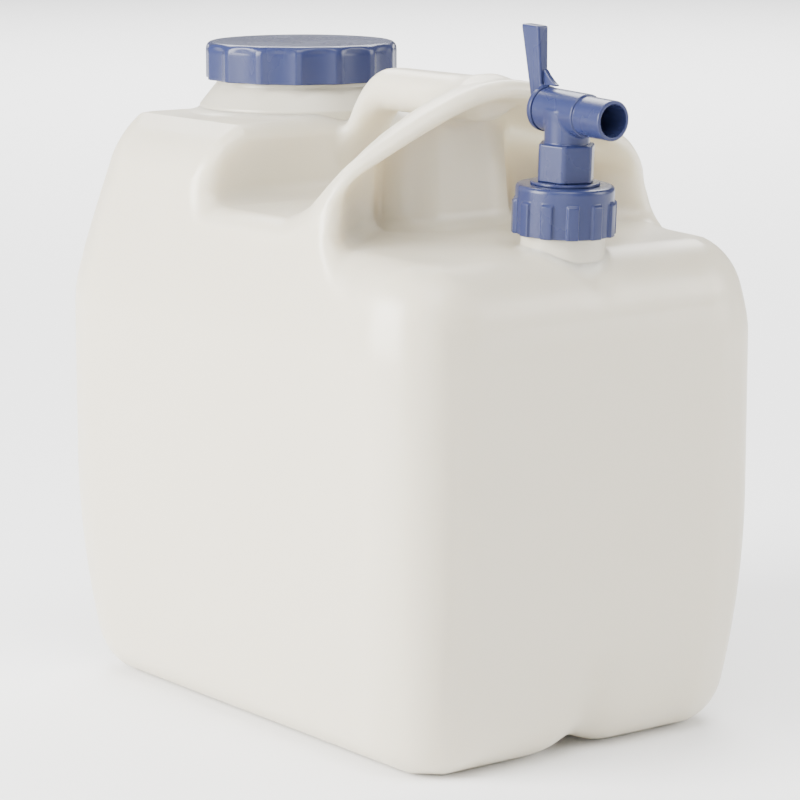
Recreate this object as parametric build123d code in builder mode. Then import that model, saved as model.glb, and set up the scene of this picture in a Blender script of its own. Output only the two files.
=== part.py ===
from build123d import *
from math import cos, radians, sin
import os

os.makedirs("parts", exist_ok=True)

# Container: overall sizes
body_width = 245.0
body_depth = 345.0
wall = 2.0
ledge_height = 266.0
platform_height = 320.0
ridge_height = 350.0

# Container: section of the vessel
corner_radius = 34.0
base_radius = 24.0
shoulder_radius = 22.0
belly_height = 130.0
base_narrowing = 12.0
flank_start = 215.0
flank_lean = 0.255
flank_blend = 25.0
form_layers = 10
spare = 20.0
closeness = 0.2

# Side view of the handle and platform
rear_slope = 60.0
rear_rounding = 30.0
bar_root = 8.0
foot_rounding = 6.0
crest_rear = 14.0
crest_rounding = 26.0

# Gable at the front of the handle, and the alcove in it
gable_front = 95.0
gable_back = 76.0
ridge_drop = 0.62
ridge_round = 30.0
rim_thickness = 9.0
rim_rounding = 8.0
alcove_half = 106.0
alcove_back = 36.0
roof_thickness = 24.0
pillar_half = 45.0
pillar_round = 30.0
pillar_front = 57.0
pillar_taper = 3.0

# Finger passage and handle bar
passage_floor = 279.0
passage_fall = 9.0
passage_front = 24.0
passage_rear = 35.0
passage_over = 5.5
gable_sweep = 13.0
knee_front = 32.0
knee_sweep = 15.0
knee_near = 0.62
knee_far = 0.15
foot_sweep = 7.0
bar_half = 14.0
bar_thickness = 24.0
bar_rear = 16.0
bar_rounding = 9.0
underside_fall = 28.0

# Main neck and cap
main_neck_radius = 48.0
main_neck_wall = 2.6
main_neck_y = 94.0
main_cap_top = 360.0
main_cap_radius = 54.5
main_cap_height = 21.2
main_cap_plate = 2.6
main_flutes = 18
main_flute_radius = 11.0
main_flute_depth = 2.0
main_cap_edge = 1.5
neck_flare = 6.0
neck_root = 3.0
seal_thickness = 2.0
seal_lap = 1.0

# Tap neck and cap
tap_neck_y = 137.7
tap_lean = 2.7
tap_neck_radius = 22.0
tap_neck_wall = 2.6
tap_cap_radius = 25.7
tap_cap_bottom = 8.2
tap_cap_height = 25.4
tap_cap_plate = 3.0
tap_cap_edge = 2.5
tap_ribs = 12
tap_rib_width = 6.0
tap_rib_height = 1.5
tap_rib_length = 18.0

# Tap body, from the stub in the vessel to the spout
stub_radius = 10.0
stub_length = 14.0
stem_bore = 6.0
washer_radius = 18.0
washer_thickness = 1.6
hexagon_flats = 27.6
hexagon_height = 19.4
hexagon_turn = 15.0
hexagon_edge = 0.8
stem_radius = 11.8
barrel_height = 70.3
barrel_radius = 11.35
barrel_wall = 1.75
barrel_rear = 16.0
barrel_front = 15.5
barrel_lip = 1.5
spout_radius = 10.4
spout_wall = 2.0
spout_reach = 35.5

# Plug with its lever
running_gap = 0.06
plug_wall = 3.9
port_radius = 5.0
hub_radius = 11.8
hub_thickness = 3.6
lever_top = 42.3
lever_root = 9.0
lever_foot = 7.0
lever_tip_front = 22.4
lever_tip_rear = 36.3
lever_waist_front = 19.6
lever_waist_rear = 29.0
lever_thickness = 5.2
lever_setback = 0.4
lever_edge = 1.2
finger_thickness = 2.4
finger_tip = 11.0
finger_inset = 1.0
finger_low = 0.6
finger_high = 2.0
ring_section = 1.7
ring_offset = 10.2

# Clearances
thread_gap = 0.9
seat_gap = 0.3


def flank_inset(height):
    """How far the vessel's side lies inside its widest section at a height."""
    below = max(0.0, (belly_height - height) / belly_height)
    above = max(0.0, height - flank_start)
    return base_narrowing * below**2 + flank_lean * above**2 / (above + flank_blend)


def ridge_line(across):
    """Height of the gable's ridge at a distance from the middle."""
    return ridge_height - ridge_drop * ((across**2 + ridge_round**2) ** 0.5 - ridge_round)


def vessel(skin):
    """The plain vessel: rounded sections that narrow to the base and lean in above the shoulder."""
    with BuildPart() as body:
        for layer in range(form_layers + 1):
            height = max(skin, layer * (ridge_height + spare) / form_layers)
            drawn_in = 2 * (flank_inset(height) + skin)
            with BuildSketch(Plane.XY.offset(height)):
                RectangleRounded(body_width - drawn_in, body_depth - drawn_in, corner_radius - skin)
        loft()
        fillet(body.edges().group_by(Axis.Z)[0], base_radius - skin)
    return body.part


def side_view(skin):
    """Ledge, gable, handle and platform seen from the side."""
    bar_top = ridge_height - skin
    platform_top = platform_height - skin
    rear_foot = platform_height - rear_slope
    rear_corner = (body_depth / 2 - corner_radius - skin, platform_top)
    bar_foot = (passage_rear + bar_root - skin, platform_top)
    bar_crest = (crest_rear - skin, bar_top)
    with BuildSketch(Plane.XY) as view:
        with BuildLine():
            Polyline(
                (body_depth, -spare),
                (body_depth, rear_foot),
                (body_depth / 2 - skin, rear_foot),
                rear_corner,
                bar_foot,
                bar_crest,
                (-gable_front + skin, bar_top),
                (-gable_front + skin, ledge_height - skin),
                (-body_depth, ledge_height - skin),
                (-body_depth, -spare),
                close=True,
            )
        make_face()
        fillet(vertices().sort_by_distance(rear_corner)[0], rear_rounding)
        fillet(vertices().sort_by_distance(bar_foot)[0], foot_rounding + skin)
        fillet(vertices().sort_by_distance(bar_crest)[0], crest_rounding - skin)
    return view.sketch


def front_view(skin):
    """The ridge seen from the front: it falls away to both sides."""
    places = [share * body_width for share in (0.0, 0.08, 0.18, 0.31, 1.0)]
    ridge = [(across, ridge_line(across) - skin) for across in places]
    with BuildSketch(Plane.XY) as view:
        with BuildLine():
            Spline(*ridge, tangents=[(1, 0), (1, -ridge_drop)])
            Polyline(ridge[-1], (body_width, -spare), (0.0, -spare), ridge[0])
        make_face()
        mirror(about=Plane.YZ)
    return view.sketch


def alcove_outline(half, roof_thickness, skin):
    """The alcove seen from the front: a level floor on the ledge and a roof that follows the ridge."""
    roof = [
        (share * half, ridge_line(share * half) - roof_thickness + skin)
        for share in (-1.0, -0.66, -0.33, 0.0, 0.33, 0.66, 1.0)
    ]
    with BuildSketch(Plane.XY) as outline:
        with BuildLine():
            Spline(*roof)
            Polyline(roof[-1], (half, ledge_height - skin), (-half, ledge_height - skin), roof[0])
        make_face()
    return outline.sketch


def pillar_plan(skin):
    """The pillar seen from above, at the height where it leaves the vessel: round at the front."""
    with BuildSketch(Plane.XY) as plan:
        with Locations((0.0, -pillar_front + skin)):
            Rectangle(2 * (pillar_half - skin), pillar_front, align=(Align.CENTER, Align.MIN))
        fillet(vertices().group_by(Axis.Y)[0], pillar_round - skin)
    return plan.sketch


def passage_outline(side, skin):
    """The open passage seen from the side: 0 is beside the bar and 1 is at the body's flank."""
    across = pillar_half + side * (body_width / 2 - pillar_half)
    top = ridge_line(across) + passage_over
    floor = passage_floor - side * passage_fall
    knee = floor + (knee_near + side * (knee_far - knee_near)) * (top - floor)
    with BuildSketch(Plane.XY) as outline:
        with BuildLine():
            Polyline(
                (-gable_back - side * gable_sweep - skin, ridge_height + spare),
                (-gable_back - side * gable_sweep - skin, top),
                (-knee_front - side * knee_sweep - skin, knee - skin),
                (-passage_front - side * foot_sweep - skin, floor - skin),
                (passage_rear + skin, floor - skin),
                (passage_rear + skin, ridge_height + spare),
                close=True,
            )
        make_face()
    return outline.sketch


def blown_form(skin):
    """The container's form without its necks, with every face moved inwards by the skin."""
    with BuildPart() as form:
        with BuildSketch(Plane.YZ):
            add(side_view(skin))
        extrude(amount=body_width, both=True)
        with BuildSketch(Plane.XZ):
            add(front_view(skin))
        extrude(amount=body_depth, both=True, mode=Mode.INTERSECT)
        front = -gable_front + skin
        gable = form.faces().filter_by(Axis.Y).sort_by(lambda face: abs(face.center().Y - front))[0]
        rim = gable.edges().filter_by(lambda edge: edge.bounding_box().max.Z > ledge_height + spare)
        fillet(rim.filter_by(GeomType.LINE, reverse=True), rim_rounding - skin)
        add(vessel(skin), mode=Mode.INTERSECT)
        ledge = form.faces().filter_by(Axis.Z).sort_by(Axis.Y)[0]
        ledge_rim = ledge.edges().filter_by(lambda edge: edge.center().Y < front - wall)
        fillet(ledge_rim, shoulder_radius - skin)

        # Alcove: a funnel that narrows backwards from the gable's front, with a pillar in its middle
        with BuildSketch(Plane.XZ.offset(gable_front + rim_rounding)):
            add(alcove_outline(alcove_half + skin, rim_thickness, skin))
        with BuildSketch(Plane.XZ.offset(alcove_back - skin)):
            add(alcove_outline(pillar_half + skin, roof_thickness, skin))
        loft(mode=Mode.SUBTRACT)
        with BuildSketch(Plane.XY.offset(ledge_height - 2 * wall)):
            add(pillar_plan(skin))
        extrude(amount=ridge_height - ledge_height - skin, taper=pillar_taper)

        # Finger passage: open beside the handle bar, and through under it
        near = passage_outline(0, skin)
        far = passage_outline(1, skin)
        for side in (-1, 1):
            with BuildSketch(Plane.YZ.offset(side * (bar_half - skin))):
                add(near)
            with BuildSketch(Plane.YZ.offset(side * pillar_half)):
                add(near)
            loft(ruled=True, mode=Mode.SUBTRACT)
            with BuildSketch(Plane.YZ.offset(side * pillar_half)):
                add(near)
            with BuildSketch(Plane.YZ.offset(side * body_width / 2)):
                add(far)
            loft(ruled=True, mode=Mode.SUBTRACT)
        under_bar = ridge_height - bar_thickness + skin
        with BuildSketch(Plane.YZ):
            with BuildLine():
                Polyline(
                    (-passage_front - skin, passage_floor - skin),
                    (passage_rear + skin, passage_floor - skin),
                    (passage_rear + skin, under_bar - underside_fall),
                    (bar_rear, under_bar),
                    (-passage_front - skin, under_bar),
                    close=True,
                )
            make_face()
        extrude(amount=bar_half + wall, both=True, mode=Mode.SUBTRACT)
        bar_underside = [
            edge
            for edge in form.edges()
            if abs(abs(edge.center().X) - bar_half + skin) < closeness
            and abs(edge.center().Z - under_bar) < closeness
            and edge.bounding_box().size.Z < closeness
        ]
        fillet(bar_underside, bar_rounding - skin)
    return form


def neck(place, radius, length):
    """A neck on the container: a flared root and a plain tube, standing on a plane."""
    with BuildPart() as tube:
        with Locations(place.offset(-neck_root).location):
            Cylinder(radius, neck_root + length, align=(Align.CENTER, Align.CENTER, Align.MIN))
            Cone(
                radius + neck_flare + neck_root / 2,
                radius,
                neck_root + neck_flare,
                align=(Align.CENTER, Align.CENTER, Align.MIN),
            )
    return tube.part


main_frame = Plane(origin=(0.0, main_neck_y, platform_height))
tap_frame = Plane(
    origin=(0.0, -tap_neck_y, ledge_height),
    x_dir=(1.0, 0.0, 0.0),
    z_dir=(0.0, -sin(radians(tap_lean)), cos(radians(tap_lean))),
)
main_plate_under = main_cap_top - platform_height - main_cap_plate
main_neck_length = main_plate_under - seal_thickness
tap_plate_under = tap_cap_bottom + tap_cap_height - tap_cap_plate
tap_neck_length = tap_plate_under - seal_thickness

with BuildPart() as container:
    add(blown_form(0.0).part)
    add(neck(main_frame, main_neck_radius, main_neck_length))
    add(neck(tap_frame, tap_neck_radius, tap_neck_length))
    add(blown_form(wall).part, mode=Mode.SUBTRACT)
    with Locations(main_frame.offset(-3 * wall).location):
        Cylinder(
            main_neck_radius - main_neck_wall,
            main_neck_length + 4 * wall,
            align=(Align.CENTER, Align.CENTER, Align.MIN),
            mode=Mode.SUBTRACT,
        )
    with Locations(tap_frame.offset(-3 * wall).location):
        Cylinder(
            tap_neck_radius - tap_neck_wall,
            tap_neck_length + 4 * wall,
            align=(Align.CENTER, Align.CENTER, Align.MIN),
            mode=Mode.SUBTRACT,
        )
container.part.label = "container"
export_step(container.part, "parts/container.step")

# Wide screw cap: a fluted skirt under a flat plate
with BuildPart() as main_cap:
    with BuildSketch(main_frame.offset(main_plate_under + main_cap_plate - main_cap_height)):
        Circle(main_cap_radius)
    extrude(amount=main_cap_height)
    fillet(main_cap.edges().group_by(Axis.Z)[-1], main_cap_edge)
    with BuildSketch(main_frame.offset(main_plate_under + main_cap_plate - main_cap_height)):
        with PolarLocations(main_cap_radius + main_flute_radius - main_flute_depth, main_flutes):
            Circle(main_flute_radius)
    extrude(amount=main_cap_height, mode=Mode.SUBTRACT)
    with BuildSketch(main_frame.offset(main_plate_under)):
        Circle(main_neck_radius + thread_gap)
    extrude(amount=-main_cap_height, mode=Mode.SUBTRACT)
main_cap.part.label = "main_cap"
export_step(main_cap.part, "parts/main_cap.step")

# Flat ring on the wide neck's rim, held in the cap
with BuildPart() as main_cap_seal:
    with BuildSketch(main_frame.offset(main_neck_length)):
        Circle(main_neck_radius + thread_gap - seat_gap)
        Circle(main_neck_radius - main_neck_wall - seal_lap, mode=Mode.SUBTRACT)
    extrude(amount=seal_thickness)
main_cap_seal.part.label = "main_cap_seal"
export_step(main_cap_seal.part, "parts/main_cap_seal.step")

# Small screw cap: ribs round the lower part, a hole in the plate for the tap
with BuildPart() as tap_cap:
    with BuildSketch(tap_frame.offset(tap_cap_bottom)):
        Circle(tap_cap_radius)
    extrude(amount=tap_cap_height)
    fillet(tap_cap.faces().sort_by(Axis.Z)[-1].edges(), tap_cap_edge)
    with BuildSketch(tap_frame.offset(tap_cap_bottom)):
        with PolarLocations(tap_cap_radius, tap_ribs):
            RectangleRounded(2 * tap_rib_height, tap_rib_width, tap_rib_height / 2)
    extrude(amount=tap_rib_length)
    with BuildSketch(tap_frame.offset(tap_plate_under)):
        Circle(tap_neck_radius + thread_gap)
    extrude(amount=-tap_cap_height, mode=Mode.SUBTRACT)
    with BuildSketch(tap_frame.offset(tap_plate_under)):
        Circle(stub_radius + seat_gap)
    extrude(amount=tap_cap_plate, mode=Mode.SUBTRACT)
tap_cap.part.label = "tap_cap"
export_step(tap_cap.part, "parts/tap_cap.step")

with BuildPart() as tap_cap_seal:
    with BuildSketch(tap_frame.offset(tap_neck_length)):
        Circle(tap_neck_radius + thread_gap - seat_gap)
        Circle(stub_radius + seat_gap, mode=Mode.SUBTRACT)
    extrude(amount=seal_thickness)
tap_cap_seal.part.label = "tap_cap_seal"
export_step(tap_cap_seal.part, "parts/tap_cap_seal.step")

cap_top = tap_cap_bottom + tap_cap_height
with BuildPart() as tap_washer:
    with BuildSketch(tap_frame.offset(cap_top)):
        Circle(washer_radius)
        Circle(stub_radius + seat_gap, mode=Mode.SUBTRACT)
    extrude(amount=washer_thickness)
    fillet(tap_washer.edges().filter_by(GeomType.CIRCLE).group_by(SortBy.RADIUS)[-1], washer_thickness / 3)
tap_washer.part.label = "tap_washer"
export_step(tap_washer.part, "parts/tap_washer.step")

# Tap body: stub, hexagon, stem, barrel and spout in one moulding
hexagon_bottom = cap_top + washer_thickness
barrel_frame = Plane(
    origin=tap_frame.from_local_coords(Vector(0.0, 0.0, barrel_height)),
    x_dir=(-1.0, 0.0, 0.0),
    z_dir=tap_frame.y_dir,
)
barrel_bore = barrel_radius - barrel_wall
spout_bore = spout_radius - spout_wall
with BuildPart() as tap_body:
    with BuildSketch(tap_frame.offset(hexagon_bottom)):
        Circle(stub_radius)
    extrude(amount=-(hexagon_bottom - tap_neck_length + stub_length))
    with BuildSketch(tap_frame.offset(hexagon_bottom)):
        RegularPolygon(hexagon_flats / 2, 6, major_radius=False, rotation=hexagon_turn)
    extrude(amount=hexagon_height)
    chamfer(tap_body.faces().sort_by(Axis.Z)[-1].edges(), hexagon_edge)
    with BuildSketch(tap_frame.offset(hexagon_bottom)):
        Circle(stem_radius)
    extrude(amount=barrel_height - hexagon_bottom)
    with BuildSketch(barrel_frame.offset(-barrel_front)):
        Circle(barrel_radius)
    extrude(amount=barrel_front + barrel_rear)
    with BuildSketch(barrel_frame.offset(-spout_reach)):
        Circle(spout_radius)
    extrude(amount=spout_reach)
    with BuildSketch(barrel_frame.offset(barrel_lip - barrel_front)):
        Circle(barrel_bore)
    extrude(amount=barrel_front + barrel_rear, mode=Mode.SUBTRACT)
    with BuildSketch(barrel_frame.offset(-spout_reach)):
        Circle(spout_bore)
    extrude(amount=spout_reach, mode=Mode.SUBTRACT)
    with BuildSketch(tap_frame.offset(barrel_height)):
        Circle(stem_bore)
    extrude(amount=-(barrel_height + stub_length), mode=Mode.SUBTRACT)
tap_body.part.label = "tap_body"
export_step(tap_body.part, "parts/tap_body.step")

# Plug, hub and lever in one moulding; the plug's port faces sideways while the lever is up
plug_radius = barrel_bore - running_gap
plug_front = barrel_front - barrel_lip - seat_gap
groove_floor = plug_radius - ring_section
with BuildPart() as tap_core:
    with BuildSketch(barrel_frame.offset(-plug_front)):
        Circle(plug_radius)
    extrude(amount=plug_front + barrel_rear + hub_thickness)
    with BuildSketch(barrel_frame.offset(barrel_rear + seat_gap)):
        Circle(hub_radius)
    extrude(amount=hub_thickness - seat_gap)
    lever_frame = Plane(origin=barrel_frame.origin, x_dir=barrel_frame.z_dir, z_dir=(1.0, 0.0, 0.0))
    hub_rear = barrel_rear + hub_thickness
    hub_front = barrel_rear + seat_gap
    with BuildSketch(lever_frame):
        with BuildLine():
            Polyline(
                (hub_front + lever_setback, lever_root),
                (lever_waist_front, hub_radius + lever_root),
                (lever_tip_front, lever_top),
                (lever_tip_rear, lever_top),
                (lever_waist_rear, lever_root),
                (hub_rear + finger_inset, -lever_foot),
                (hub_front + lever_setback, -lever_foot),
                close=True,
            )
        make_face()
        fillet(vertices().group_by(Axis.Y)[-1], lever_edge)
    extrude(amount=lever_thickness / 2, both=True)
    with BuildSketch(lever_frame.offset(lever_thickness / 2)):
        with BuildLine():
            Polyline(
                (lever_waist_front + finger_inset, hub_radius + finger_inset),
                (lever_waist_front + finger_inset, hub_radius + lever_root - finger_inset),
                (finger_tip, hub_radius + finger_high),
                (finger_tip, hub_radius + finger_low),
                close=True,
            )
        make_face()
    extrude(amount=-finger_thickness)
    with BuildSketch(barrel_frame.offset(-plug_front)):
        Circle(plug_radius - plug_wall)
    extrude(amount=plug_front + barrel_rear - hub_thickness, mode=Mode.SUBTRACT)
    with BuildSketch(Plane(origin=barrel_frame.origin, x_dir=barrel_frame.z_dir, z_dir=(-1.0, 0.0, 0.0))):
        Circle(port_radius)
    extrude(amount=barrel_radius, mode=Mode.SUBTRACT)
    for offset in (-ring_offset, ring_offset):
        with BuildSketch(barrel_frame.offset(offset - ring_section / 2 - running_gap)):
            Circle(barrel_radius)
            Circle(groove_floor, mode=Mode.SUBTRACT)
        extrude(amount=ring_section + 2 * running_gap, mode=Mode.SUBTRACT)
tap_core.part.label = "tap_core"
export_step(tap_core.part, "parts/tap_core.step")


def plug_ring(offset):
    """An O-ring in one of the plug's grooves."""
    with BuildPart() as ring:
        with Locations(barrel_frame.offset(offset).location):
            Torus(groove_floor + ring_section / 2, ring_section / 2)
    return ring.part


with BuildPart() as core_seal_rear:
    add(plug_ring(ring_offset))
core_seal_rear.part.label = "core_seal_rear"
export_step(core_seal_rear.part, "parts/core_seal_rear.step")

with BuildPart() as core_seal_front:
    add(plug_ring(-ring_offset))
core_seal_front.part.label = "core_seal_front"
export_step(core_seal_front.part, "parts/core_seal_front.step")
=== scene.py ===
"""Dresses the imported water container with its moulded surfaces, finishes, light and camera."""

from __future__ import annotations

import logging
from collections.abc import Callable
from dataclasses import dataclass, field
from enum import Enum

import bpy
import numpy as np
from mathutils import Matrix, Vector

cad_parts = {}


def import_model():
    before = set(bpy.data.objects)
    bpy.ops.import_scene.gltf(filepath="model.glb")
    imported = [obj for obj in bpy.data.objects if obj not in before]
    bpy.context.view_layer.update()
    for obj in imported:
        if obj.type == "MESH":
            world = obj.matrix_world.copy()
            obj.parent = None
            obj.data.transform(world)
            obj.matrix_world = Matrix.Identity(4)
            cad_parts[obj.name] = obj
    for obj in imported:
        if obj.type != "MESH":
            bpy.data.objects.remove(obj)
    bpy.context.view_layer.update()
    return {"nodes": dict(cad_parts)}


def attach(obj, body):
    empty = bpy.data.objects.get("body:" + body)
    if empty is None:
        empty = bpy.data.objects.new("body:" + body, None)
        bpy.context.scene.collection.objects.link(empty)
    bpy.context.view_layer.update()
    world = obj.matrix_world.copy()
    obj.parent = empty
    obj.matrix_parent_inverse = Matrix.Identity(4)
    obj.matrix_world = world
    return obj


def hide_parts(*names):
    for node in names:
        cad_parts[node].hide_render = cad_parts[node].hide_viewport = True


LOG = logging.getLogger("water_container")
MM = 0.001
SLANT = 0.85
DIAGONAL = 0.7071
SETTLE_ROUNDS = 3
SETTLE_REACH = 0.45
LEAST_SLOPE = 0.2
CORNER_POINTS = 7
Array = np.ndarray
Field = Callable[[Array, Array, Array], Array]


class Slot(Enum):
    """The record's material slots."""

    CONTAINER = "container"
    BLUE = "blue"
    SEAL = "seal"
    RING = "ring"


def soft_max(a: Array, b: Array, radius: float) -> Array:
    """Meeting of two solids with a rounded edge: the larger distance, with a quarter arc where both are near."""
    u, v = np.maximum(radius + a, 0.0), np.maximum(radius + b, 0.0)
    return np.minimum(-radius, np.maximum(a, b)) + np.hypot(u, v)


def soft_min(a: Array, b: Array, radius: float) -> Array:
    """Joining of two solids with a rounded inner corner: the soft meeting of their outsides, turned back."""
    return -soft_max(-a, -b, radius)


def ramp(value: Array, width: float) -> Array:
    """Zero below zero and the value itself above, with a hyperbola of the given width between."""
    return 0.5 * (value + np.sqrt(value * value + width * width))


def rounded_box(x: Array, y: Array, half_x: Array, half_y: Array, radius: float) -> Array:
    """Distance to a rectangle with round corners in a plane."""
    qx, qy = np.abs(x) - half_x + radius, np.abs(y) - half_y + radius
    return np.hypot(np.maximum(qx, 0), np.maximum(qy, 0)) + np.minimum(np.maximum(qx, qy), 0) - radius


def outside(value: Array, low: float, high: float) -> Array:
    """Distance past the nearer end of a span: negative between low and high."""
    return np.abs(value - (low + high) / 2) - (high - low) / 2


def bump(value: Array, low: float, high: float, soft: float) -> Array:
    """One between low and high and zero outside, with smooth shoulders of the given width.

    Args:
        value: The numbers to compare with the span.
        low: Where the span starts.
        high: Where it ends.
        soft: Width of each shoulder.

    Returns:
        A number from zero to one for each value.
    """
    rise = np.clip((value - low) / soft + 0.5, 0, 1)
    fall = np.clip((high - value) / soft + 0.5, 0, 1)
    return rise * rise * (3 - 2 * rise) * fall * fall * (3 - 2 * fall)


@dataclass(frozen=True)
class Frame:
    """A local frame in millimetres: an origin and three unit axes as rows."""

    origin: tuple[float, float, float]
    lean_deg: float = 0.0

    def axes(self) -> Array:
        """Rows are the local x, y and z axes: the vertical leans towards -Y by the lean angle.

        Returns:
            The three unit axes, one per row.
        """
        lean = np.radians(self.lean_deg)
        c, s = np.cos(lean), np.sin(lean)
        return np.array([[1.0, 0.0, 0.0], [0.0, c, s], [0.0, -s, c]])

    def to_row(self, points: Array) -> Array:
        """Local points to the row frame: origin plus coordinates times axes."""
        return np.asarray(self.origin) + points @ self.axes()


UPRIGHT = Frame((0.0, 0.0, 0.0))
TAP_FRAME = Frame((0.0, -137.7, 266.0), 2.7)
MAIN_FRAME = Frame((0.0, 94.0, 320.0))
WIDE_FOOT = ((57.2, -2.0, 0.3), (57.6, 4.6, 2.0), (48.0, 16.5, 2.0))


def spaced(start: float, *spans: tuple[float, float]) -> Array:
    """Grid places along one axis, evenly spaced within each span.

    Args:
        start: The first place.
        *spans: (end, largest step) of each span, in order.

    Returns:
        The places in rising order.
    """
    ends = [start, *(end for end, _ in spans)]
    steps = [step for _, step in spans]
    parts = [np.linspace(a, b, int(np.ceil((b - a) / h)), endpoint=False) for a, b, h in zip(ends, ends[1:], steps)]
    return np.append(np.concatenate(parts), ends[-1])


def make_mesh(name: str, points: Array, quads: Array, normals: Array | None = None) -> bpy.types.Object:
    """Puts whole arrays of points and faces into a new mesh object.

    Args:
        name: The piece's name.
        points: Points in millimetres, one per row.
        quads: Four point numbers per face, in order round the outside.
        normals: Optional unit normal per point, for smooth shading.

    Returns:
        The new object at the origin.
    """
    mesh = bpy.data.meshes.new(name)
    mesh.vertices.add(len(points))
    mesh.vertices.foreach_set("co", (points * MM).astype(np.float32).ravel())
    mesh.loops.add(quads.size)
    mesh.loops.foreach_set("vertex_index", quads.astype(np.int32).ravel())
    mesh.polygons.add(len(quads))
    mesh.polygons.foreach_set("loop_start", np.arange(0, quads.size, quads.shape[1], dtype=np.int32))
    mesh.polygons.foreach_set("use_smooth", np.ones(len(quads), bool))
    mesh.update(calc_edges=True)
    mesh.validate()
    if normals is not None:
        mesh.normals_split_custom_set_from_vertices(normals.astype(np.float32))
    piece = bpy.data.objects.new(name, mesh)
    bpy.context.scene.collection.objects.link(piece)
    return piece


@dataclass
class LevelSurface:
    """A moulded surface held as a distance field: the places where the field is zero."""

    name: str
    distance: Field
    grid: tuple[Array, Array, Array]
    step: float
    frame: Frame = UPRIGHT

    def gradient(self, p: Array) -> Array:
        """Central differences of the field at points, an eighth of a step each way.

        Args:
            p: Points in millimetres, one per row.

        Returns:
            The slope at each point, one per row.
        """
        e = self.step / 8
        rows = []
        for axis in range(3):
            d = np.zeros(3)
            d[axis] = e
            a, b = (p + d).T, (p - d).T
            rows.append((self.distance(*a) - self.distance(*b)) / (2 * e))
        return np.stack(rows, -1)

    def build(self) -> bpy.types.Object:
        """Makes the mesh: one point per grid cell that the surface crosses, one quad per crossed grid edge.

        A cell's point starts at the mean of the crossings on its edges, and is then moved along the field's
        slope until the field is zero there. The normals are the field's slope at the points.

        Returns:
            The new piece.
        """
        count = np.array([len(axis) for axis in self.grid])
        values = self.distance(*np.meshgrid(*self.grid, indexing="ij", sparse=True))
        values = np.broadcast_to(values, tuple(count))
        inside = values < 0
        corner = [inside[i:count[0] - 1 + i, j:count[1] - 1 + j, k:count[2] - 1 + k]
                  for i in (0, 1) for j in (0, 1) for k in (0, 1)]
        total = sum(c.astype(np.int8) for c in corner)
        active = (total > 0) & (total < 8)
        number = np.full(active.shape, -1, np.int64)
        cells = np.argwhere(active)
        number[active] = np.arange(len(cells))
        points, hits = np.zeros((len(cells), 3)), np.zeros(len(cells))
        for axis in range(3):
            across = [a for a in range(3) if a != axis]
            for i in (0, 1):
                for j in (0, 1):
                    start = np.zeros(3, int)
                    start[across[0]], start[across[1]] = i, j
                    end = start.copy()
                    end[axis] = 1
                    a = values[tuple((cells + start).T)]
                    b = values[tuple((cells + end).T)]
                    cut = (a < 0) != (b < 0)
                    share = np.where(cut, a / np.where(cut, a - b, 1.0), 0.0)
                    place = start + share[:, None] * (end - start)
                    points += np.where(cut[:, None], place, 0.0)
                    hits += cut
        places = cells + points / hits[:, None]
        points = np.stack([np.interp(places[:, i], np.arange(count[i]), self.grid[i]) for i in range(3)], -1)
        reach = SETTLE_REACH * self.step
        for _ in range(SETTLE_ROUNDS):
            slope = self.gradient(points)
            value = self.distance(*points.T)
            size = np.maximum((slope**2).sum(1), LEAST_SLOPE)
            points -= np.clip(value / size, -reach, reach)[:, None] * slope
        faces = []
        for axis in range(3):
            first, second = [(1, 2), (2, 0), (0, 1)][axis]
            sizes = list(count)
            take = [slice(None)] * 3
            take[axis] = slice(0, sizes[axis] - 1)
            after = [slice(None)] * 3
            after[axis] = slice(1, sizes[axis])
            crossed = inside[tuple(take)] != inside[tuple(after)]
            edges = np.argwhere(crossed)
            edges = edges[(edges[:, first] > 0) & (edges[:, second] > 0)
                          & (edges[:, first] < sizes[first] - 1) & (edges[:, second] < sizes[second] - 1)]
            outward = inside[tuple(edges.T)]
            ring = []
            for i, j in ((0, 0), (1, 0), (1, 1), (0, 1)):
                cell = edges.copy()
                cell[:, first] -= 1 - i
                cell[:, second] -= 1 - j
                ring.append(number[tuple(cell.T)])
            quad = np.stack(ring, -1)
            quad[~outward] = quad[~outward, ::-1]
            faces.append(quad)
        slope = self.gradient(points)
        normals = slope / np.linalg.norm(slope, axis=1, keepdims=True)
        piece = make_mesh(self.name, self.frame.to_row(points), np.concatenate(faces), normals @ self.frame.axes())
        LOG.info("%s: %d faces", self.name, len(piece.data.polygons))
        return piece


@dataclass
class TurnedSurface:
    """A closed profile carried round a vertical axis, with its radius changed by the angle."""

    name: str
    profile: Array
    frame: Frame
    turns: int = 360
    shift: Callable[[Array, Array, Array], Array] | None = None

    def build(self) -> bpy.types.Object:
        """Makes the mesh: point (i, j) is profile point j at angle i, moved outwards by shift(angle, radius, height).

        Returns:
            The new piece.
        """
        angle = np.linspace(0, 2 * np.pi, self.turns, endpoint=False)[:, None]
        radius, height = self.profile[None, :, 0], self.profile[None, :, 1]
        reach = np.broadcast_to(radius, (self.turns, len(self.profile)))
        if self.shift is not None:
            reach = reach + self.shift(angle, radius, height)
        points = np.stack([reach * np.cos(angle), reach * np.sin(angle), np.broadcast_to(height, reach.shape)], -1)
        rows, columns = self.turns, len(self.profile)
        i, j = np.meshgrid(np.arange(rows), np.arange(columns), indexing="ij")
        nxt, up = (i + 1) % rows, (j + 1) % columns
        ring = (i * columns + j, nxt * columns + j, nxt * columns + up, i * columns + up)
        quads = np.stack(ring, -1).reshape(-1, 4)
        piece = make_mesh(self.name, self.frame.to_row(points.reshape(-1, 3)), quads)
        LOG.info("%s: %d faces", self.name, len(piece.data.polygons))
        return piece


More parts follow.
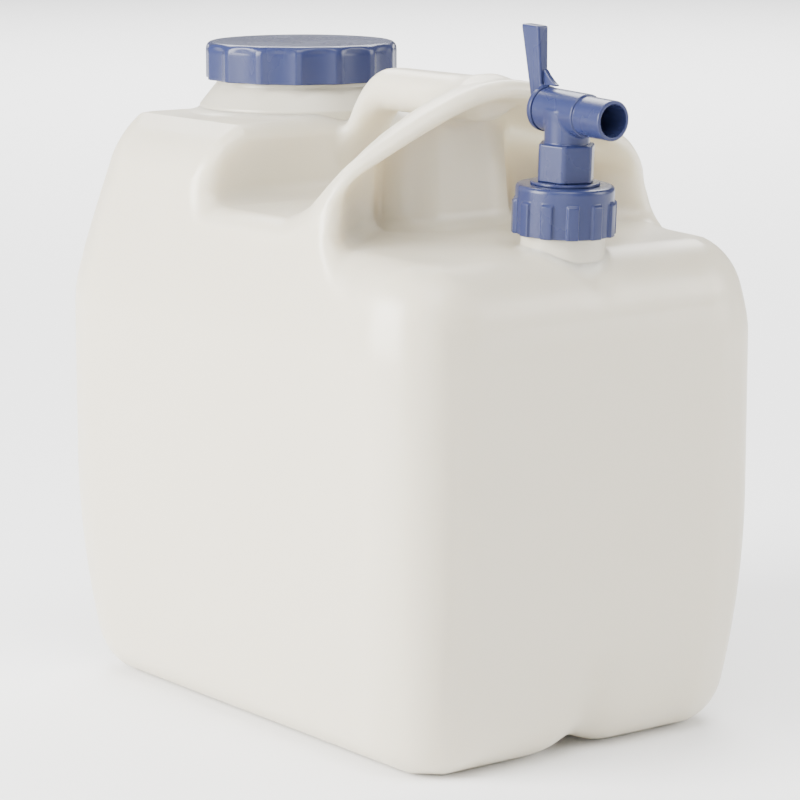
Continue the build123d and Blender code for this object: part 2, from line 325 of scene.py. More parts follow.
def rounded_profile(corners: list[tuple[float, float, float]], spacing: float = 0.6) -> Array:
    """A closed profile from corners with radii, with arcs at the corners and even points between.

    Args:
        corners: (radius from the axis, height, rounding) of each corner, in order round the section.
        spacing: Largest distance between neighbouring points.

    Returns:
        The profile's points, one per row.
    """
    pts = np.array([c[:2] for c in corners])
    out = []
    for k, (_, _, rounding) in enumerate(corners):
        p, a, b = pts[k], pts[k - 1], pts[(k + 1) % len(pts)]
        u, v = (a - p) / np.linalg.norm(a - p), (b - p) / np.linalg.norm(b - p)
        half = np.arccos(np.clip(u @ v, -1, 1)) / 2
        trim = rounding / np.tan(half)
        t = np.linspace(0, 1, CORNER_POINTS if rounding > 0 else 1)[:, None]
        start, end = p + u * trim, p + v * trim
        out.append((1 - t) ** 2 * start + 2 * t * (1 - t) * p + t**2 * end)
    points = np.concatenate(out)
    filled = []
    for a, b in zip(points, np.roll(points, -1, axis=0)):
        steps = max(1, int(np.linalg.norm(b - a) / spacing))
        filled.append(a + (b - a) * np.linspace(0, 1, steps, endpoint=False)[:, None])
    return np.concatenate(filled)


@dataclass(frozen=True)
class Plastic:
    """A moulded plastic: its colour, gloss, and the scales of its faint unevenness."""

    name: str
    colour: tuple[float, float, float]
    shade: tuple[float, float, float]
    roughness: float
    subsurface: float = 0.0
    radius: tuple[float, float, float] = (1.0, 1.0, 1.0)
    scatter: float = 0.01
    drift_scale: float = 7.0
    gloss_scale: float = 24.0
    gloss_range: tuple[float, float] = (0.88, 1.15)
    wave_scale: float = 9.0
    wave_height: float = 0.15
    grain_scale: float = 900.0
    grain_height: float = 0.02
    specular: float = 0.5

    def make(self) -> bpy.types.Material:
        """Builds the node material on object coordinates: a slow colour drift, uneven gloss, waviness and grain.

        Returns:
            The new material.
        """
        material = bpy.data.materials.new(self.name)
        material.use_nodes = True
        tree = material.node_tree
        nodes, links = tree.nodes, tree.links
        shader = nodes["Principled BSDF"]
        place = nodes.new("ShaderNodeTexCoord").outputs["Object"]

        def noise(scale: float, detail: float, tall: float = 1.0) -> bpy.types.NodeSocket:
            """A noise pattern on object coordinates, scaled along Z by the last number; returns its factor.

            Args:
                scale: The noise's scale.
                detail: Its number of finer layers.
                tall: Its stretch along Z.

            Returns:
                The socket with the pattern's factor.
            """
            mapping = nodes.new("ShaderNodeMapping")
            mapping.inputs["Scale"].default_value = (1.0, 1.0, tall)
            links.new(place, mapping.inputs["Vector"])
            texture = nodes.new("ShaderNodeTexNoise")
            texture.inputs["Scale"].default_value = scale
            texture.inputs["Detail"].default_value = detail
            links.new(mapping.outputs["Vector"], texture.inputs["Vector"])
            return texture.outputs["Fac"]

        drift = noise(self.drift_scale, 3.0)
        mix = nodes.new("ShaderNodeMix")
        mix.data_type = "RGBA"
        mix.inputs["A"].default_value = (*self.colour, 1)
        mix.inputs["B"].default_value = (*self.shade, 1)
        links.new(drift, mix.inputs["Factor"])
        links.new(mix.outputs["Result"], shader.inputs["Base Color"])
        gloss = nodes.new("ShaderNodeMapRange")
        gloss.inputs["From Min"].default_value = 0.3
        gloss.inputs["From Max"].default_value = 0.7
        gloss.inputs["To Min"].default_value = self.roughness * self.gloss_range[0]
        gloss.inputs["To Max"].default_value = self.roughness * self.gloss_range[1]
        links.new(noise(self.gloss_scale, 4.0, 0.5), gloss.inputs["Value"])
        links.new(gloss.outputs["Result"], shader.inputs["Roughness"])
        slow = nodes.new("ShaderNodeBump")
        slow.inputs["Strength"].default_value = 1.0
        slow.inputs["Distance"].default_value = self.wave_height * MM
        links.new(noise(self.wave_scale, 2.0), slow.inputs["Height"])
        fine = nodes.new("ShaderNodeBump")
        fine.inputs["Strength"].default_value = 1.0
        fine.inputs["Distance"].default_value = self.grain_height * MM
        links.new(noise(self.grain_scale, 2.0), fine.inputs["Height"])
        links.new(slow.outputs["Normal"], fine.inputs["Normal"])
        links.new(fine.outputs["Normal"], shader.inputs["Normal"])
        shader.inputs["Subsurface Weight"].default_value = self.subsurface
        shader.inputs["Subsurface Radius"].default_value = self.radius
        shader.inputs["Subsurface Scale"].default_value = self.scatter
        shader.inputs["Specular IOR Level"].default_value = self.specular
        shader.inputs["IOR"].default_value = 1.5
        return material


@dataclass(frozen=True)
class Finishes:
    """The finishes of the whole object."""

    milky: Plastic = Plastic(
        "milky_polyethylene", (0.61, 0.565, 0.46), (0.585, 0.54, 0.435), 0.34,
        subsurface=0.9, radius=(1.0, 0.95, 0.85), scatter=0.025, wave_scale=11.0, wave_height=0.5,
    )
    # Neck finish: the same milky plastic with less scatter, its colour darkened as painted shade standing in for the
    # shadow the caps cast on the necks.
    neck: Plastic = Plastic(
        "milky_neck_painted_shade", (0.49, 0.46, 0.38), (0.47, 0.44, 0.36), 0.34,
        subsurface=0.4, radius=(1.0, 0.95, 0.85), scatter=0.003, wave_scale=11.0, wave_height=0.2,
    )
    blue: Plastic = Plastic(
        "blue_polyethylene", (0.021, 0.027, 0.08), (0.019, 0.025, 0.074), 0.26, specular=0.3,
        subsurface=0.05, radius=(0.4, 0.4, 1.0), scatter=0.002, wave_scale=60.0, wave_height=0.02,
        grain_height=0.005,
    )
    seal: Plastic = Plastic("foam_seal", (0.75, 0.75, 0.72), (0.7, 0.7, 0.67), 0.7)
    ring: Plastic = Plastic("ring_rubber", (0.02, 0.02, 0.02), (0.03, 0.03, 0.03), 0.5)


def dress(piece: bpy.types.Object, material: bpy.types.Material) -> None:
    """Gives a piece one material on all its faces."""
    piece.data.materials.clear()
    piece.data.materials.append(material)


@dataclass
class Container:
    """The blown container: vessel, ledge, gable with its alcove and pillar, handle bar and finger passage.

    All lengths are in millimetres. Where two forms meet, the third number given to soft_max or soft_min is the
    radius of their edge or of the inner corner between them.
    """

    half_width: float = 122.5
    half_depth: float = 172.5
    corner: float = 22.0
    corner_flat: float = 15.0
    corner_blend: float = 16.0
    base_radius: float = 24.0
    narrowing: float = 12.0
    belly: float = 130.0
    shoulder: float = 215.0
    lean: float = 0.255
    lean_blend: float = 25.0
    shoulder_radius: float = 24.0
    rear_sharper: float = 12.0
    rear_from: float = -110.0
    rear_run: float = 30.0
    ledge: float = 264.0
    ledge_rise: float = 5.0
    ledge_from: float = -172.0
    ledge_run: float = 120.0
    ledge_radius: float = 9.0
    platform: float = 320.5
    platform_radius: float = 9.0
    platform_foot: float = 10.0
    wall_y: float = 35.0
    ridge: float = 350.0
    ridge_fall: float = 0.8
    ridge_spread: float = 0.75
    ridge_round: float = 30.0
    floor: float = 279.0
    passage: tuple[float, float] = (-60.0, 60.0)
    passage_edge: float = 4.0
    passage_radius: float = 9.0
    gable_front: float = -96.0
    gable_sweep: float = 12.0
    sweep_at: float = 105.0
    gable_foot: float = 9.0
    foot_top: float = 308.0
    foot_height: float = 42.0
    gable_back: float = -74.0
    back_sweep: float = 7.0
    rear_sweep: float = 5.0
    rear_scale: float = 0.95
    rear_radius: float = 6.0
    cheek_width: float = 66.0
    cheek_blend: float = 0.15
    roof_slope: tuple[float, float] = (0.52, 0.92)
    roof_blend: float = 6.0
    roof_scale: float = 0.82
    rim_radius: float = 6.5
    pillar_half: float = 45.0
    pillar_depth: float = 30.0
    pillar_round: float = 28.5
    pillar_front: float = -57.0
    pillar_taper: float = 0.052
    pillar_back: float = -24.0
    pillar_top: float = 4.0
    pillar_cover: float = 3.0
    pillar_edge: float = 4.0
    pillar_foot: float = 5.0
    back_lean: float = 0.2
    crease: tuple[float, float] = (45.0, -36.0)
    nose: tuple[float, float] = (103.0, -83.0)
    ceiling: tuple[float, float] = (9.0, 24.0)
    ceiling_run: float = 60.0
    alcove_radius: float = 9.0
    alcove_lip: float = 4.5
    bar_half: float = 14.0
    bar_height: float = 23.0
    bar_round: float = 11.0
    bar_middle: float = -18.0
    bar_reach: float = 62.0
    bar_root: float = 8.0
    bend_start: float = 2.0
    bend: float = 34.0
    collar_y: float = 94.0
    collar_radius: float = 46.0
    collar_from: float = 337.0
    collar_flare: float = 0.85
    collar_scale: float = 0.76
    collar_span: tuple[float, float] = (312.0, 329.0)
    collar_front: float = 37.5
    collar_inset: float = 5.0
    collar_foot: float = 3.0
    collar_bore: float = 44.0
    bore_floor: float = 300.0
    tap_neck: float = 21.7
    tap_neck_span: tuple[float, float] = (-20.0, 5.0)
    tap_neck_foot: float = 4.0
    tap_bore: float = 18.0
    tap_bore_floor: float = -12.0
    bore_lip: float = 0.6
    panel_depth: float = 0.8
    panel_half: float = 97.0
    panel_span: tuple[float, float] = (40.0, 236.0)
    panel_blend: float = 7.0
    panel_rear: float = -140.0
    groove_depth: float = 2.2
    groove_width: float = 7.0
    groove_from: float = 236.0
    groove_run: float = 20.0
    groove_front: float = -150.0
    groove_reach: float = 12.0
    channel_depth: float = 7.5
    channel_width: float = 14.0
    channel_height: float = 60.0
    step: float = 1.9

    def flank_inset(self, z: Array) -> Array:
        """How far the side lies inside the widest section: a square law below the belly, a blend to a lean above.

        Args:
            z: Places along Z.

        Returns:
            The inset at each height.
        """
        low = self.narrowing * np.clip((self.belly - z) / self.belly, 0, None) ** 2
        above = np.clip(z - self.shoulder, 0, None)
        return low + self.lean * above**2 / (above + self.lean_blend)

    def ridge_line(self, x: Array) -> Array:
        """Height of the gable over the middle: a hyperbola falling away to both sides."""
        return self.ridge - self.ridge_fall * (np.hypot(self.ridge_spread * x, self.ridge_round) - self.ridge_round)

    def flank(self, x: Array, y: Array, z: Array) -> Array:
        """The vessel's sides: a rounded rectangle whose corners are flattened a little.

        Args:
            x: Places along X, in millimetres.
            y: Places along Y.
            z: Places along Z.

        Returns:
            The distance at each place, negative inside.
        """
        inset = self.flank_inset(z)
        side = rounded_box(x, y, self.half_width - inset, self.half_depth - inset, self.corner)
        across, along = np.abs(x) - self.half_width + inset, np.abs(y) - self.half_depth + inset
        return soft_max(side, (across + along) * DIAGONAL + self.corner_flat, self.corner_blend)

    def cheek(self, x: Array) -> Array:
        """How far out a place lies on the gable's cheek: zero behind the pillar, rising evenly to the flank."""
        return ramp((np.abs(x) - self.pillar_half) / self.cheek_width, self.cheek_blend)

    def gable_face(self, x: Array, z: Array) -> Array:
        """Where the gable's front stands: swept back by a square law, with a foot that runs forward lower down."""
        foot = self.gable_foot * np.clip((self.foot_top - z) / self.foot_height, 0, 1) ** 1.5
        return self.gable_front + self.gable_sweep * (np.abs(x) / self.sweep_at) ** 2 - foot

    def roof(self, x: Array, y: Array) -> Array:
        """Height of the gable's roof: the ridge line, less a slope from the back edge, steeper on the cheeks.

        Args:
            x: Places along X, in millimetres.
            y: Places along Y.

        Returns:
            The roof's height at each place.
        """
        out = self.cheek(x)
        near, far = self.roof_slope
        slope = near + (far - near) * np.clip(out, 0, 1)
        return self.ridge_line(x) - slope * ramp(y - self.gable_back + self.back_sweep * out, self.roof_blend)

    def alcove(self, x: Array, y: Array, z: Array) -> Array:
        """Space under the gable: before a slanted wall from crease to nose, below a ceiling falling rearwards.

        Args:
            x: Places along X, in millimetres.
            y: Places along Y.
            z: Places along Z.

        Returns:
            The distance at each place, negative inside.
        """
        (cx, cy), (nx, ny) = self.crease, self.nose
        length = np.hypot(nx - cx, ny - cy)
        wall = (np.abs(x) - cx) * (cy - ny) / length + (y - cy) * (nx - cx) / length
        near, far = self.ceiling
        inwards = np.clip((y - self.gable_face(x, z)) / self.ceiling_run, 0, 1)
        ceiling = self.ridge_line(x) - near - (far - near) * inwards
        return soft_max(wall, (z - ceiling) * SLANT, self.alcove_radius)

    def pillar(self, x: Array, y: Array, z: Array) -> Array:
        """Upright with round corners, a little slimmer upwards, ended by its leaning back and by the roof.

        Args:
            x: Places along X, in millimetres.
            y: Places along Y.
            z: Places along Z.

        Returns:
            The distance at each place, negative inside.
        """
        taper = self.pillar_taper * (z - self.ledge)
        half, depth = self.pillar_half - taper, self.pillar_depth - taper
        section = rounded_box(x, y - self.pillar_front - self.pillar_depth, half, depth, self.pillar_round)
        back = y - self.pillar_back + self.back_lean * (z - self.floor)
        top = np.minimum(self.roof(x, y), self.ridge_line(x) - self.pillar_top)
        return np.maximum(soft_max(section, back, self.pillar_edge), (z - top) * SLANT + self.pillar_cover)

    def gable(self, x: Array, y: Array, z: Array) -> Array:
        """Gable behind a curved rim with the passage floor behind it, less the alcove, plus the pillar.

        Args:
            x: Places along X, in millimetres.
            y: Places along Y.
            z: Places along Z.

        Returns:
            The distance at each place, negative inside.
        """
        block = soft_max(self.gable_face(x, z) - y, (z - self.roof(x, y)) * self.roof_scale, self.rim_radius)
        rear = self.pillar_back - self.back_lean * (z - self.floor) - self.rear_sweep * self.cheek(x)
        block = soft_max(block, (y - rear) * self.rear_scale, self.rear_radius)
        near, far = self.passage
        passage = soft_max(near - y, z - self.floor, self.passage_edge)
        block = soft_min(block, soft_max(passage, y - far, self.passage_edge), self.passage_radius)
        block = soft_max(block, -self.alcove(x, y, z), self.alcove_lip)
        return soft_min(block, self.pillar(x, y, z), self.pillar_foot)

    def bar(self, x: Array, y: Array, z: Array) -> Array:
        """Handle bar: a rounded section that bends down into the platform at its rear end.

        Args:
            x: Places along X, in millimetres.
            y: Places along Y.
            z: Places along Z.

        Returns:
            The distance at each place, negative inside.
        """
        rise = np.clip((y - self.bend_start) / self.bend, 0, 1)
        centre = self.ridge - self.bar_height / 2 - self.bend * rise**2.2
        section = rounded_box(x, z - centre, self.bar_half, self.bar_height / 2, self.bar_round)
        return soft_max(section, np.abs(y - self.bar_middle) - self.bar_reach, self.bar_root)

    def wide_collar(self, x: Array, y: Array, z: Array) -> Array:
        """Cone under the wide neck, kept behind the passage wall and inside the vessel's sides.

        Args:
            x: Places along X, in millimetres.
            y: Places along Y.
            z: Places along Z.

        Returns:
            The distance at each place, negative inside.
        """
        away = np.hypot(x, y - self.collar_y)
        low, high = self.collar_span
        cone = (away - self.collar_radius - self.collar_flare * (self.collar_from - z)) * self.collar_scale
        cone = soft_max(soft_max(cone, z - high, 0.5), low - z, 1.0)
        cone = soft_max(cone, self.collar_front - y, 7.0)
        return soft_max(cone, self.flank(x, y, z) + self.collar_inset, 6.0)

    def necks(self, form: Array, x: Array, y: Array, z: Array) -> Array:
        """Adds the roots of both necks to the form and opens the bores under them.

        Args:
            form: The container's field so far.
            x: Places along X, in millimetres.
            y: Places along Y.
            z: Places along Z.

        Returns:
            The container's field with its necks.
        """
        form = soft_min(form, self.wide_collar(x, y, z), self.collar_foot)
        away = np.hypot(x, y - self.collar_y)
        bore = np.maximum(away - self.collar_bore, self.bore_floor - z)
        lean = TAP_FRAME.axes()
        ty, tz = y - TAP_FRAME.origin[1], z - TAP_FRAME.origin[2]
        along, aside = ty * lean[2, 1] + tz * lean[2, 2], ty * lean[1, 1] + tz * lean[1, 2]
        away = np.hypot(x, aside)
        low, high = self.tap_neck_span
        tube = soft_max(soft_max(away - self.tap_neck, along - high, 0.5), low - along, 1.0)
        form = soft_min(form, tube, self.tap_neck_foot)
        bore = np.minimum(bore, np.maximum(away - self.tap_bore, self.tap_bore_floor - along))
        return soft_max(form, -bore, self.bore_lip)

    def relief(self, x: Array, y: Array, z: Array) -> Array:
        """Depth of the shallow marks: label panel, pinch groove under the tap neck and channel across the base.

        Args:
            x: Places along X, in millimetres.
            y: Places along Y.
            z: Places along Z.

        Returns:
            How far the surface is pressed in at each place.
        """
        front = np.where(y < self.panel_rear, 1.0, 0.0)
        edge = self.panel_blend
        panel = bump(x, -self.panel_half, self.panel_half, edge) * bump(z, *self.panel_span, edge) * front
        groove = np.exp(-((x / self.groove_width) ** 2)) * np.clip((z - self.groove_from) / self.groove_run, 0, 1)
        groove = groove * np.clip((self.groove_front - y) / self.groove_reach, 0, 1)
        channel = np.exp(-((x / self.channel_width) ** 2))
        channel = channel * np.clip((self.channel_height - z) / self.channel_height, 0, 1)
        return self.panel_depth * panel + self.groove_depth * groove + self.channel_depth * channel

    def distance(self, x: Array, y: Array, z: Array) -> Array:
        """The whole container's field: the parts above the ledge joined, cut by the vessel's sides and base.

        Args:
            x: Places along X, in millimetres.
            y: Places along Y.
            z: Places along Z.

        Returns:
            The distance at each place, negative inside.
        """
        rise = np.clip((y - self.ledge_from) / self.ledge_run, 0, 1)
        ledge = z - self.ledge - self.ledge_rise * rise
        top = np.maximum(z - self.platform, (z - self.ridge_line(x)) * SLANT)
        platform = soft_max(self.wall_y - y, top, self.platform_radius)
        form = soft_min(ledge, self.gable(x, y, z), self.ledge_radius)
        form = soft_min(form, platform, self.platform_foot)
        rearwards = np.clip((y - self.rear_from) / self.rear_run, 0, 1)
        rounding = self.shoulder_radius - self.rear_sharper * rearwards
        form = soft_max(form, self.flank(x, y, z), rounding)
        form = soft_min(form, self.bar(x, y, z), self.bar_root)
        form = soft_max(form, -z, self.base_radius) + self.relief(x, y, z)
        return self.necks(form, x, y, z)

    def build(self) -> bpy.types.Object:
        """Makes the container's surface and puts it in the place of the plain solid.

        Returns:
            The new piece.
        """
        grid = (
            spaced(-126.0, (126.0, 2.0)),
            spaced(-176.0, (-106.0, 3.0), (46.0, self.step), (176.0, 3.2)),
            spaced(-4.0, (36.0, 3.2), (228.0, 9.0), (262.0, 3.0), (354.0, self.step)),
        )
        piece = LevelSurface("container_skin", self.distance, grid, self.step).build()
        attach(piece, "container")
        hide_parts("container")
        return piece


@dataclass
class Neck:
    """One of the container's necks: a thin tube with a raised screw thread."""

    name: str
    frame: Frame
    radius: float
    wall: float
    bottom: float
    top: float
    pitch: float
    thread_from: float
    thread_height: float = 0.65
    thread_share: float = 0.24
    foot: tuple[tuple[float, float, float], ...] = ()

    def thread(self, angle: Array, radius: Array, height: Array) -> Array:
        """The thread is a rounded ridge whose height on the tube rises by one pitch a turn.

        Args:
            angle: Angles round the axis, in radians.
            radius: The profile's distances from the axis.
            height: The profile's heights.

        Returns:
            How far outwards each point moves.
        """
        phase = np.mod((height - self.thread_from) / self.pitch - angle / (2 * np.pi), 1.0) - 0.5
        ridge = np.clip(1 - (phase / self.thread_share) ** 2, 0, None)
        outer = np.clip((radius - self.radius + 0.4) / 0.3, 0, 1)
        start, end = height - self.thread_from, self.top - 3.0 - height
        within = np.clip(start / 2.0, 0, 1) * np.clip(end / 2.0, 0, 1)
        return self.thread_height * ridge * outer * within

    def build(self) -> bpy.types.Object:
        """Turns the tube's section round the neck's axis, thread included.

        Returns:
            The new piece.
        """
        inner = self.radius - self.wall
        corners = [
            (inner, self.top, 0.8),
            (inner, self.bottom, 0.3),
            *(self.foot or ((self.radius, self.bottom, 0.3),)),
            (self.radius, self.top, 1.0),
        ]
        piece = TurnedSurface(self.name, rounded_profile(corners, 0.6), self.frame, 300, self.thread).build()
        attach(piece, "container")
        return piece


@dataclass
class WideCap:
    """The wide screw cap at the rear: a fluted skirt and a flat top with a rounded edge."""

    radius: float = 54.4
    bottom: float = 18.8
    top: float = 39.9
    plate: float = 2.6
    bore: float = 48.9
    flutes: int = 15
    flute_depth: float = 2.0
    flute_share: float = 0.86
    flute_turn: float = 0.28
    shoulder: float = 5.4
    flute_inside: float = 1.4
    flute_blend: float = 3.2
    flute_end: float = 0.6
    flute_fade: float = 3.0

    def flute(self, angle: Array, radius: Array, height: Array) -> Array:
        """Each flute is a shallow arc cut out of the outer wall, fading on the shoulder under the top edge.

        Args:
            angle: Angles round the axis, in radians.
            radius: The profile's distances from the axis.
            height: The profile's heights.

        Returns:
            How far outwards each point moves, negative inwards.
        """
        phase = np.mod(angle * self.flutes / (2 * np.pi) + self.flute_turn, 1.0) - 0.5
        arc = np.clip(1 - (phase / (self.flute_share / 2)) ** 2, 0, None)
        outer = np.clip((radius - self.radius + self.shoulder - self.flute_inside) / self.flute_blend, 0, 1)
        above = np.clip((self.top - self.flute_end - height) / self.flute_fade, 0, 1)
        return -self.flute_depth * arc * outer * outer * (3 - 2 * outer) * above

    def build(self) -> bpy.types.Object:
        """Turns the cap's section round its axis, flutes included.

        Returns:
            The new piece.
        """
        corners = [
            (0.02, self.top, 0.0),
            (0.02, self.top - self.plate, 0.0),
            (self.bore, self.top - self.plate, 0.6),
            (self.bore, self.bottom, 0.5),
            (self.radius, self.bottom, 0.7),
            (self.radius, self.top, self.shoulder),
        ]
        piece = TurnedSurface(
            "wide_cap_skin", rounded_profile(corners, 0.8), MAIN_FRAME, 432, self.flute
        ).build()
        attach(piece, "main_cap")
        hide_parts("main_cap")
        return piece


@dataclass
class SmallCap:
    """The small screw cap under the tap: a skirt with ribs and a plain band above them."""

    radius: float = 25.6
    bottom: float = 8.2
    top: float = 33.6
    plate: float = 3.0
    bore: float = 22.9
    hole: float = 10.3
    ribs: int = 12
    rib_width: float = 6.0
    rib_height: float = 1.5
    rib_top: float = 26.2
    rib_flank: float = 1.0
    rib_inside: float = 1.6
    rib_fade: float = 1.2

    def rib(self, angle: Array, radius: Array, height: Array) -> Array:
        """Each rib is a flat-topped bump in the outer wall with soft flanks, ending below the plain band.

        Args:
            angle: Angles round the axis, in radians.
            radius: The profile's distances from the axis.
            height: The profile's heights.

        Returns:
            How far outwards each point moves.
        """
        arc = (np.mod(angle * self.ribs / (2 * np.pi) + 0.5, 1.0) - 0.5) * 2 * np.pi / self.ribs * self.radius
        across = bump(arc, -self.rib_width / 2, self.rib_width / 2, self.rib_flank)
        outer = np.clip((radius - self.radius + self.rib_inside) / self.rib_fade, 0, 1)
        below = np.clip((self.rib_top - height) / self.rib_fade, 0, 1)
        return self.rib_height * across * outer * below * below * (3 - 2 * below)

    def build(self) -> bpy.types.Object:
        """Turns the cap's section round the tap's leaning axis, ribs included.

        Returns:
            The new piece.
        """
        corners = [
            (self.hole, self.top, 0.3),
            (self.hole, self.top - self.plate, 0.3),
            (self.bore, self.top - self.plate, 0.6),
            (self.bore, self.bottom, 0.4),
            (self.radius, self.bottom, 0.6),
            (self.radius, self.top, 2.6),
        ]
        piece = TurnedSurface(
            "small_cap_skin", rounded_profile(corners, 0.6), TAP_FRAME, 480, self.rib
        ).build()
        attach(piece, "tap")
        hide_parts("tap_cap")
        return piece


@dataclass
class Tap:
    """The tap's fixed moulding: hexagon, stem, barrel and spout, all on the leaning axis."""

    hexagon_flats: float = 27.6
    hexagon_low: float = 35.2
    hexagon_high: float = 54.6
    hexagon_turn: float = 15.0
    stem_radius: float = 11.75
    axis_height: float = 70.3
    barrel_radius: float = 11.3
    barrel_bore: float = 9.6
    barrel_rear: float = 16.0
    barrel_front: float = -15.5
    spout_radius: float = 10.35
    spout_bore: float = 8.4
    spout_end: float = -35.5
    stem_span: tuple[float, float] = (40.0, 72.0)
    stub_radius: float = 9.9
    stub_span: tuple[float, float] = (15.1, 38.9)
    drain: float = 6.0
    step: float = 0.55

    def hexagon(self, x: Array, y: Array) -> Array:
        """Distance to a hexagon with slightly rounded corners: the largest of three pairs of flats.

        Args:
            x: Places along X, in millimetres.
            y: Places along Y.

        Returns:
            The distance at each place, negative inside.
        """
        turn = np.radians(self.hexagon_turn)
        far = None
        for k in range(3):
            a = turn + k * np.pi / 3
            flat = np.abs(x * np.cos(a) + y * np.sin(a)) - self.hexagon_flats / 2
            far = flat if far is None else soft_max(far, flat, 1.6)
        return far

    def distance(self, x: Array, y: Array, z: Array) -> Array:
        """The moulding's field: stem and hexagon upright, barrel and spout lengthwise, then the bores cut.

        Args:
            x: Places along X, in millimetres.
            y: Places along Y.
            z: Places along Z.

        Returns:
            The distance at each place, negative inside.
        """
        hexagon = soft_max(self.hexagon(x, y), outside(z, self.hexagon_low, self.hexagon_high), 0.9)
        upright = np.hypot(x, y)
        stem = soft_max(upright - self.stem_radius, outside(z, *self.stem_span), 0.6)
        stub = np.maximum(upright - self.stub_radius, outside(z, *self.stub_span))
        form = soft_min(hexagon, stem, 0.8)
        away = np.hypot(x, z - self.axis_height)
        barrel = soft_max(away - self.barrel_radius, outside(y, self.barrel_front, self.barrel_rear), 0.6)
        spout = soft_max(away - self.spout_radius, outside(y, self.spout_end, 0.0), 0.5)
        form = soft_min(form, barrel, 1.2)
        form = soft_min(form, spout, 0.3)
        form = np.minimum(form, stub)
        inner = np.maximum(away - self.barrel_bore, self.barrel_front + 1.5 - y)
        outlet = away - self.spout_bore
        form = soft_max(form, -np.minimum(inner, np.maximum(outlet, y)), 0.3)
        return np.maximum(form, -np.maximum(upright - self.drain, z - self.axis_height))

    def build(self) -> bpy.types.Object:
        """Makes the tap's moulding in place of the plain solid.

        Returns:
            The new piece.
        """
        piece = LevelSurface(
            "tap_skin", self.distance,
            (spaced(-18.0, (18.0, self.step)), spaced(-37.0, (18.0, self.step)), spaced(14.0, (83.0, self.step))),
            self.step, TAP_FRAME,
        ).build()
        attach(piece, "tap")
        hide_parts("tap_body")
        return piece


@dataclass
class Lever:
    """The turning core: plug in the barrel, hub, upright lever blade and its forward finger."""

    axis_height: float = 70.3
    plug_radius: float = 9.5
    plug_bore: float = 5.7
    plug_front: float = -13.7
    hub_radius: float = 11.75
    hub_front: float = 16.4
    hub_rear: float = 19.6
    top: float = 112.4
    half_top: float = 3.6
    half_root: float = 2.4
    front: tuple[float, float] = (19.4, 22.4)
    rear: tuple[float, float] = (29.0, 36.2)
    blade_root: float = 79.0
    blade_low: float = 64.0
    blade_edge: float = 1.2
    finger_x: float = 1.1
    finger_half: float = 1.3
    finger_span: tuple[float, float] = (10.6, 21.0)
    finger_low: float = 82.4
    finger_tip: float = 83.2
    finger_rise: float = 7.0
    bore_end: float = 12.0
    port: float = 5.0
    step: float = 0.5

    def distance(self, x: Array, y: Array, z: Array) -> Array:
        """The core's field: plug and hub round the barrel's axis, a blade that widens upwards, a finger in front.

        Args:
            x: Places along X, in millimetres.
            y: Places along Y.
            z: Places along Z.

        Returns:
            The distance at each place, negative inside.
        """
        away = np.hypot(x, z - self.axis_height)
        plug = np.maximum(away - self.plug_radius, outside(y, self.plug_front, self.hub_rear))
        hub = soft_max(away - self.hub_radius, outside(y, self.hub_front, self.hub_rear), 0.7)
        share = np.clip((z - self.blade_root) / (self.top - self.blade_root), -0.35, 1.05)
        front = self.front[0] + (self.front[1] - self.front[0]) * np.maximum(share, 0)
        rear = self.rear[0] + (self.rear[1] - self.rear[0]) * share
        half = self.half_root + (self.half_top - self.half_root) * np.clip(share, 0, 1)
        blade = rounded_box(x, y - (front + rear) / 2, half, (rear - front) / 2, self.blade_edge)
        blade = soft_max(blade, outside(z, self.blade_low, self.top), self.blade_edge)
        finger_top = self.finger_tip + self.finger_rise * np.clip((y - 10.5) / 9.5, 0, 1) ** 1.3
        finger = soft_max(np.abs(x - self.finger_x) - self.finger_half, z - finger_top, 0.3)
        finger = np.maximum(np.maximum(finger, self.finger_low - z), outside(y, *self.finger_span))
        form = soft_min(hub, blade, 1.5)
        form = np.minimum(form, np.minimum(plug, finger))
        bore = np.maximum(away - self.plug_bore, y - self.bore_end)
        port = np.maximum(np.hypot(y, z - self.axis_height) - self.port, x)
        return soft_max(form, -np.minimum(bore, port), 0.2)

    def build(self) -> bpy.types.Object:
        """Makes the core with its lever in place of the plain solid.

        Returns:
            The new piece.
        """
        piece = LevelSurface(
            "lever_skin", self.distance,
            (spaced(-14.0, (14.0, self.step)), spaced(-16.0, (39.0, self.step)), spaced(56.0, (115.0, self.step))),
            self.step, TAP_FRAME,
        ).build()
        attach(piece, "lever")
        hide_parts("tap_core")
        return piece


@dataclass
class Washer:
    """The thin ring between the tap's hexagon and the small cap."""

    outer: float = 17.95
    inner: float = 10.3
    low: float = 33.7
    high: float = 35.2

    def build(self) -> bpy.types.Object:
        """Turns the washer's section round the tap's axis.

        Returns:
            The new piece.
        """
        corners = [
            (self.inner, self.high, 0.2),
            (self.inner, self.low, 0.2),
            (self.outer, self.low, 0.4),
            (self.outer, self.high, 0.6),
        ]
        piece = TurnedSurface("washer_skin", rounded_profile(corners, 0.5), TAP_FRAME, 192).build()
        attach(piece, "tap")
        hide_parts("tap_washer")
        return piece


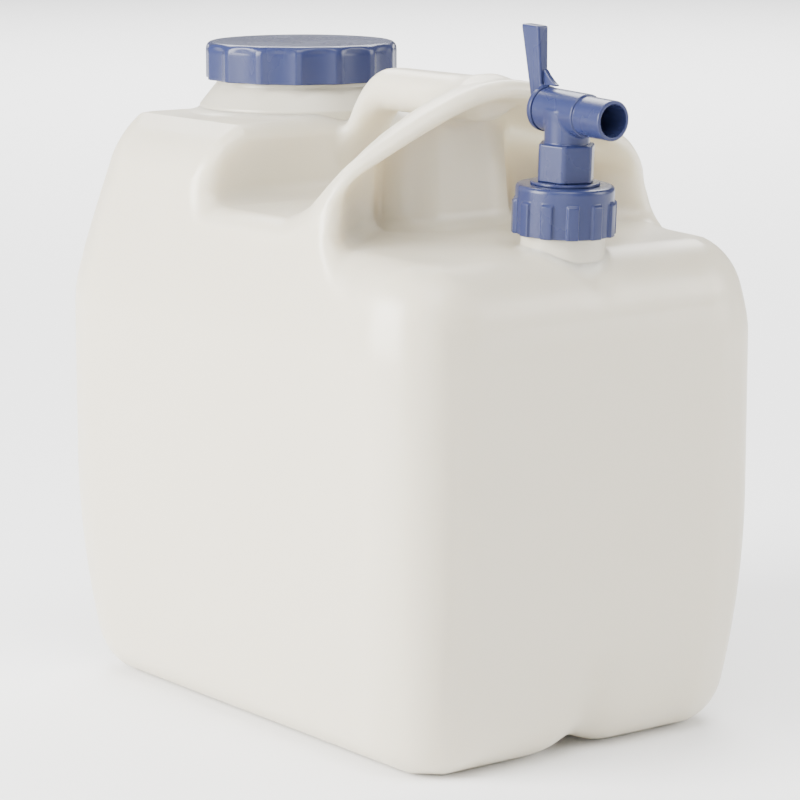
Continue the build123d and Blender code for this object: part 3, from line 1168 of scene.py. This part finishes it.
@dataclass
class Studio:
    """Pale floor, soft lights, white surroundings and the camera at the photograph's angle."""

    eye: tuple[float, float, float] = (-1.07085, -1.4132, 0.48952)
    look: tuple[float, float, float] = (0.59384, 0.78437, -0.17920)
    lens: float = 146.38
    floor_half: float = 6000.0
    floor_below: float = -0.2
    sky: float = 0.4

    def build(self) -> None:
        """Makes the floor, the lights, the surroundings and the camera."""
        half = self.floor_half
        points = np.array([(-half, -half), (half, -half), (half, half), (-half, half)])
        points = np.column_stack([points, np.full(4, self.floor_below)])
        quads = np.array([[0, 1, 2, 3]])
        floor = make_mesh("floor", points, quads)
        dress(floor, Plastic("pale_floor", (0.95, 0.95, 0.95), (0.94, 0.94, 0.94), 0.7, wave_height=0.0).make())
        self.light("key", (-2.8, 0.7, 1.3), 1.8, 380.0)
        self.light("fill", (2.3, -1.9, 1.2), 1.6, 90.0)
        self.light("bounce", (-1.9, -2.3, 0.7), 1.4, 22.0)
        self.light("top", (-0.7, -1.2, 2.6), 1.8, 90.0)
        self.light("floor_wash", (2.6, 3.4, 3.2), 4.0, 600.0, (2.7, 3.5, 0.0))
        world = bpy.data.worlds.new("white_room")
        bpy.context.scene.world = world
        world.use_nodes = True
        world.node_tree.nodes["Background"].inputs["Color"].default_value = (1, 1, 1, 1)
        world.node_tree.nodes["Background"].inputs["Strength"].default_value = self.sky
        camera = bpy.data.objects.new("camera", bpy.data.cameras.new("camera"))
        bpy.context.scene.collection.objects.link(camera)
        camera.location = self.eye
        camera.rotation_mode = "QUATERNION"
        camera.rotation_quaternion = Vector(self.look).to_track_quat("-Z", "Y")
        camera.data.lens = self.lens
        camera.data.sensor_width = 36.0
        camera.data.clip_end = 50.0
        bpy.context.scene.camera = camera

    def light(
        self, name: str, place: tuple[float, float, float], size: float, power: float,
        aim: tuple[float, float, float] = (0.0, 0.0, 0.18),
    ) -> None:
        """Adds one soft square light.

        Args:
            name: The light's name.
            place: Where it hangs, in metres.
            size: Its side, in metres.
            power: Its power in watts.
            aim: The place that it faces, in metres.
        """
        lamp = bpy.data.lights.new(name, "AREA")
        lamp.energy, lamp.size = power, size
        piece = bpy.data.objects.new(name, lamp)
        bpy.context.scene.collection.objects.link(piece)
        piece.location = place
        piece.rotation_mode = "QUATERNION"
        piece.rotation_quaternion = (Vector(aim) - Vector(place)).to_track_quat("-Z", "Y")


@dataclass
class Dressing:
    """Builds every sub-assembly and gives each piece its finish."""

    finishes: Finishes = field(default_factory=Finishes)

    def run(self, nodes: dict[str, bpy.types.Object]) -> None:
        """Builds the pieces and dresses them.

        Args:
            nodes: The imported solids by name.
        """
        # The necks get the milky finish darkened as painted shade from the caps above them.
        milky, neck_painted_shade = self.finishes.milky.make(), self.finishes.neck.make()
        blue = self.finishes.blue.make()
        seal, ring = self.finishes.seal.make(), self.finishes.ring.make()
        dress(Container().build(), milky)
        for neck in (
            Neck("wide_neck_skin", MAIN_FRAME, 47.95, 2.55, -2.0, 35.1, 6.0, 19.0, foot=WIDE_FOOT),
            Neck("small_neck_skin", TAP_FRAME, 21.95, 2.55, -4.0, 28.3, 4.0, 6.0),
        ):
            dress(neck.build(), neck_painted_shade)
        for maker in (WideCap(), SmallCap(), Tap(), Lever(), Washer()):
            dress(maker.build(), blue)
        for name in ("main_cap_seal", "tap_cap_seal"):
            dress(nodes[name], seal)
        for name in ("core_seal_rear", "core_seal_front"):
            dress(nodes[name], ring)


def main() -> None:
    """Loads the frame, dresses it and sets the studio."""
    logging.basicConfig(level=logging.INFO, format="%(message)s")
    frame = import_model()
    Studio().build()
    Dressing().run(frame["nodes"])


if __name__ == "__main__":
    main()
